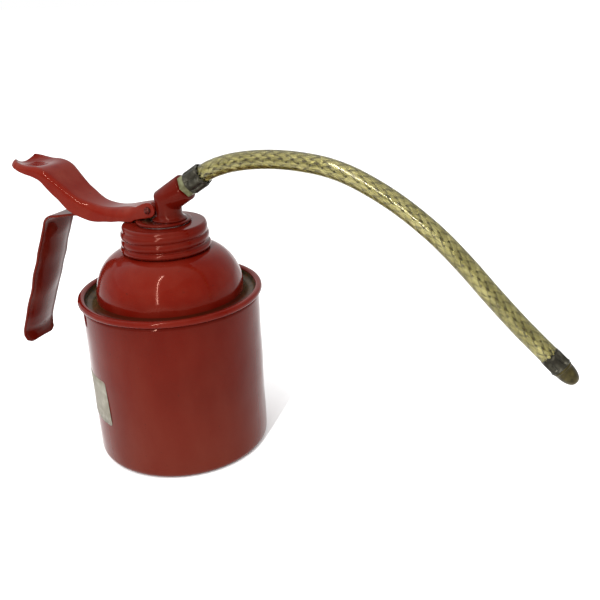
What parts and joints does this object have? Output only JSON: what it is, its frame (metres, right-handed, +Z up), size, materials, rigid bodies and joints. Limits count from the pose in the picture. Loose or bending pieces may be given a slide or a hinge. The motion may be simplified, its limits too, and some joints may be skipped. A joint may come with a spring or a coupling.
{
  "type": "pump oil can",
  "caption": "Round steel oil can with a rolled rim, domed shoulder and screw cap, a hand pump with a thumb lever over a strap handle, and a flexible braided spout.",
  "frame": {"origin": "centre of the can's flat base, on the surface it stands on", "axes": "+Z up along the can's axis, +X towards the spout, the handle and thumb lever at -X"},
  "size_m": [0.284, 0.09, 0.1537],
  "materials": {
    "red_paint": "gloss",
    "dark_steel": "satin",
    "steel": "satin",
    "die_cast": "matte",
    "brass": "satin",
    "rubber": "matte",
    "leather": "matte",
    "hose": "gloss"
  },
  "bodies": {
    "can": {"can_body": "red_paint", "can_shoulder": "red_paint"},
    "gasket": {"neck_gasket": "rubber"},
    "head": {"pump_head": "die_cast", "rod_seal": "leather", "rod_gland": "brass", "spout_elbow": "red_paint", "handle_strap": "red_paint", "lever_pin": "dark_steel", "foot_valve_body": "brass", "ball_stop_pin": "steel", "suction_tube": "steel", "hose_gland": "brass", "rear_ferrule": "dark_steel", "spout_hose": "hose", "front_ferrule": "dark_steel", "spout_nozzle": "brass", "return_spring": "steel", "delivery_spring": "steel"},
    "cap": {"screw_cap": "red_paint"},
    "lever": {"thumb_lever": "red_paint"},
    "plunger": {"plunger_rod": "steel", "piston": "brass", "cup_washer": "leather", "piston_nut": "brass"},
    "suction_ball": {"foot_valve_ball": "steel"},
    "outlet_ball": {"delivery_ball": "steel"}
  },
  "joints": [
    {"name": "lift_out", "type": "slide", "parent": "can", "child": "gasket", "axis": [0, 0, 1], "range_m": [0, 0.13]},
    {"name": "thread_rise", "type": "slide", "parent": "gasket", "child": "head", "axis": [0, 0, 1], "range_m": [0, 0.0115]},
    {"name": "cap_turn", "type": "hinge", "parent": "head", "child": "cap", "pos_m": [0, 0, 0.11], "axis": [0, 0, 1], "range_deg": [0, 1080]},
    {"name": "lever_press", "type": "hinge", "parent": "head", "child": "lever", "pos_m": [-0.0034, 0, 0.1239], "axis": [0, 1, 0], "range_deg": [0, 18]},
    {"name": "plunger_slide", "type": "slide", "parent": "head", "child": "plunger", "axis": [0, 0, 1], "range_m": [0, 0.0018], "deforming": ["return_spring"]},
    {"name": "suction_valve", "type": "slide", "parent": "head", "child": "suction_ball", "axis": [0, 0, 1], "range_m": [0, 0.0012]},
    {"name": "delivery_valve", "type": "slide", "parent": "head", "child": "outlet_ball", "axis": [0, 0, 1], "range_m": [0, 0.0015], "stiffness_N_per_m": 20, "springref_m": -0.002, "deforming": ["delivery_spring"]}
  ],
  "couplings": [
    {"joint": "cap_turn", "follows": "thread_rise", "rad_per_m": 1639},
    {"joint": "plunger_slide", "follows": "lever_press", "m_per_rad": 0.0053}
  ]
}
